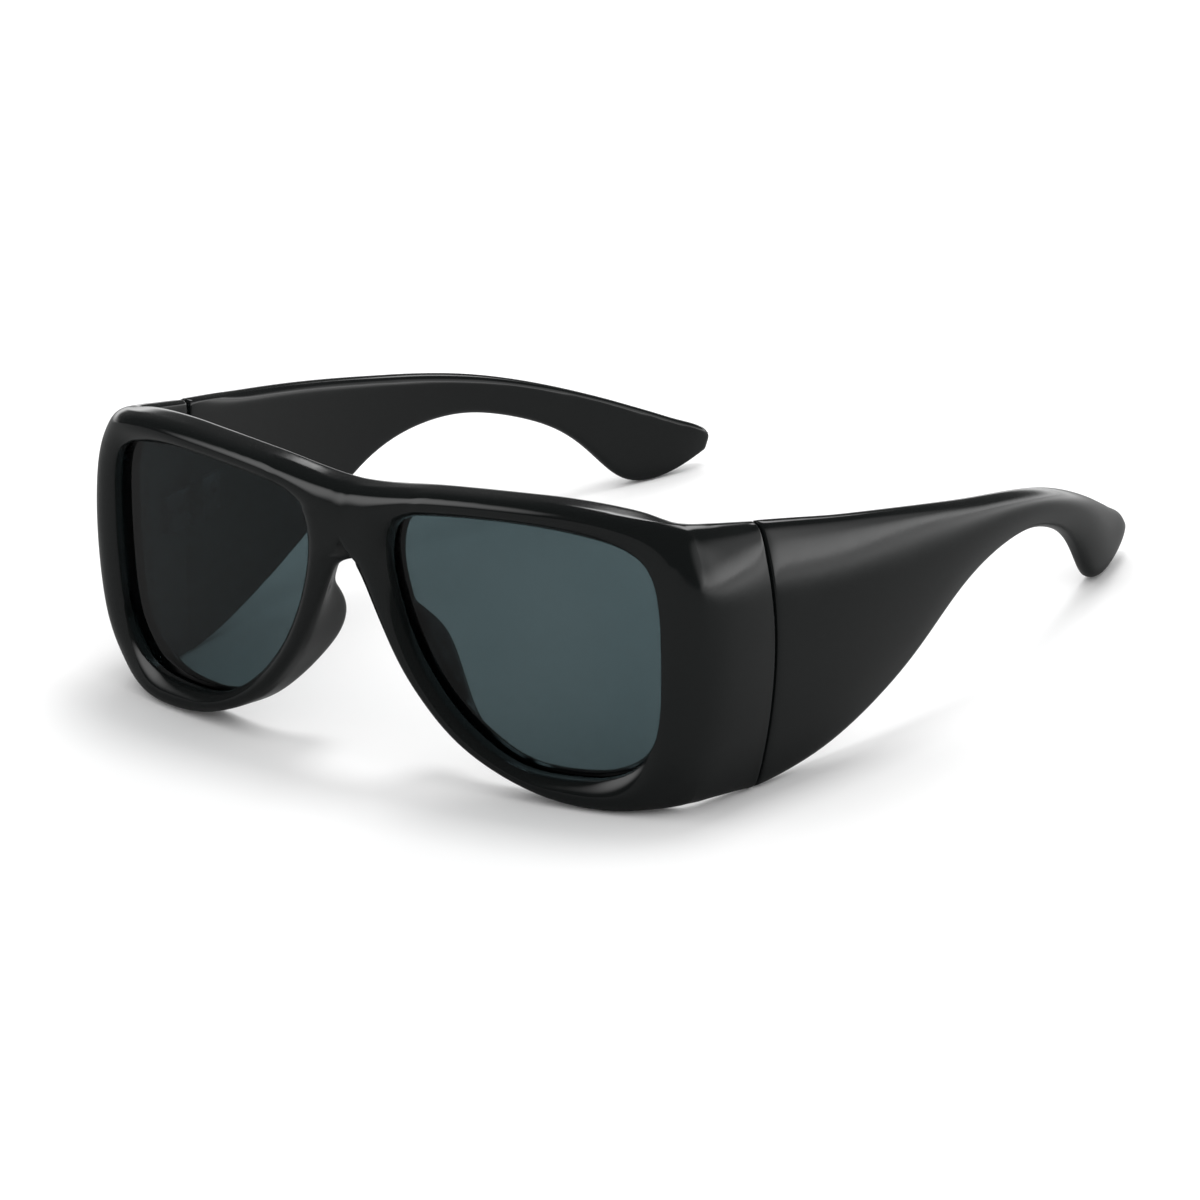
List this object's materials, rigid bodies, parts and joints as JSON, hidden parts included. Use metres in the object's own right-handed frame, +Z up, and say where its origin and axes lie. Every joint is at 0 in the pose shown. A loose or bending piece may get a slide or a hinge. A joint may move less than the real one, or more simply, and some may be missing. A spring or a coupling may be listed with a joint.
{
  "type": "wrap sunglasses",
  "caption": "Wrap aviator sunglasses: thick glossy black front with deep side returns, tinted lenses, and broad curved temples that fold on metal hinges.",
  "frame": {"origin": "under the middle of the part, on the surface that it stands on", "axes": "front faces -Y, temples run towards +Y, +Z up, +X is the wearer's left"},
  "size_m": [0.1438, 0.1924, 0.0564],
  "materials": {
    "black_plastic": "polished moulded black",
    "tinted_lens": "smooth grey-green tint",
    "hinge_steel": "black nickel plating"
  },
  "bodies": {
    "front": {"front_frame": "black_plastic", "lens_left": "tinted_lens", "lens_right": "tinted_lens", "hinge_screw_left": "hinge_steel", "hinge_screw_right": "hinge_steel", "front_hinge_leaf_left": "hinge_steel", "front_leaf_screw_left_1": "hinge_steel", "front_leaf_screw_left_2": "hinge_steel", "front_hinge_leaf_right": "hinge_steel", "front_leaf_screw_right_1": "hinge_steel", "front_leaf_screw_right_2": "hinge_steel"},
    "temple_left": {"temple_left": "black_plastic", "temple_hinge_leaf_left": "hinge_steel", "temple_leaf_screw_left_1": "hinge_steel", "temple_leaf_screw_left_2": "hinge_steel"},
    "temple_right": {"temple_right": "black_plastic", "temple_hinge_leaf_right": "hinge_steel", "temple_leaf_screw_right_1": "hinge_steel", "temple_leaf_screw_right_2": "hinge_steel"}
  },
  "joints": [
    {"name": "temple_fold_left", "type": "hinge", "parent": "front", "child": "temple_left", "pos_m": [0.06013, -0.05889, 0.03], "axis": [0, 0, 1], "range_deg": [0, 55]},
    {"name": "temple_fold_right", "type": "hinge", "parent": "front", "child": "temple_right", "pos_m": [-0.06013, -0.05889, 0.03], "axis": [0, 0, -1], "range_deg": [0, 21]}
  ]
}
